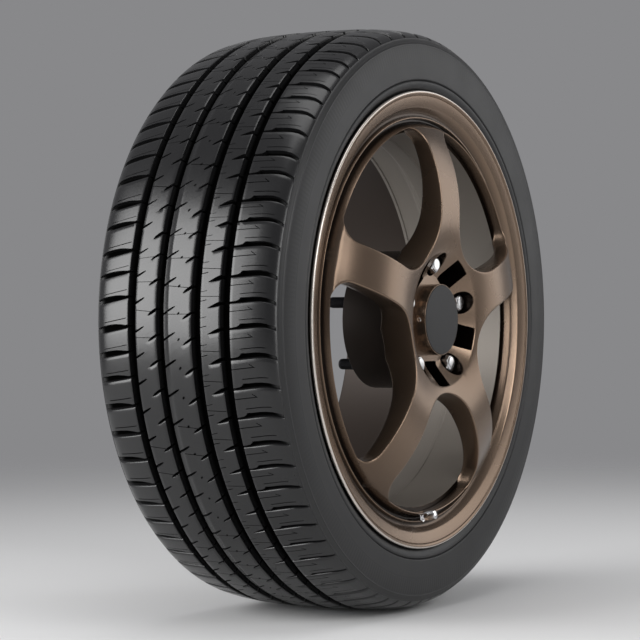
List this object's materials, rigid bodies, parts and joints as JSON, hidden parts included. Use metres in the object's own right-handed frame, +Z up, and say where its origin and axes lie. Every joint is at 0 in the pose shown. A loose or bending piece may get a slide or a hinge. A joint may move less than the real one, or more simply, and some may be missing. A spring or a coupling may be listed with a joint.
{
  "type": "car wheel with performance tyre",
  "caption": "Cast alloy car wheel with straight spokes, lug bolts, centre cap and inflation valve, fitted with a low-profile performance road tyre.",
  "frame": {"origin": "centre of the wheel's hub mounting face, on the axis that the wheel turns about", "axes": "+Y along the wheel's axis towards the car, +Z up with the valve at the bottom, the outer face towards -Y"},
  "size_m": [0.637, 0.2528, 0.6369],
  "materials": {
    "tyre_rubber": "matte",
    "bronze_alloy": "satin",
    "bolt_steel": "satin",
    "cap_metal": "satin",
    "cap_face": "matte",
    "screw_steel": "satin",
    "valve_metal": "polished",
    "seal_rubber": "matte",
    "core_brass": "satin"
  },
  "bodies": {
    "wheel": {"tyre": "tyre_rubber", "wheel": "bronze_alloy", "lug_bolts": "bolt_steel", "centre_cap": "cap_metal", "cap_disc": "cap_face", "cap_screw": "screw_steel", "valve_stem": "valve_metal", "valve_grommet": "seal_rubber", "valve_nut": "valve_metal", "valve_core": "core_brass"},
    "valve_cap": {"valve_cap": "valve_metal"},
    "valve_pin": {"valve_pin": "core_brass"}
  },
  "joints": [
    {"name": "valve_cap_off", "type": "slide", "parent": "wheel", "child": "valve_cap", "axis": [0, -0.9781, 0.2079], "range_m": [0, 0.016]},
    {"name": "valve_pin_press", "type": "slide", "parent": "wheel", "child": "valve_pin", "axis": [0, 0.9781, -0.2079], "range_m": [0, 0.0015], "stiffness_N_per_m": 400, "springref_m": -0.002}
  ]
}
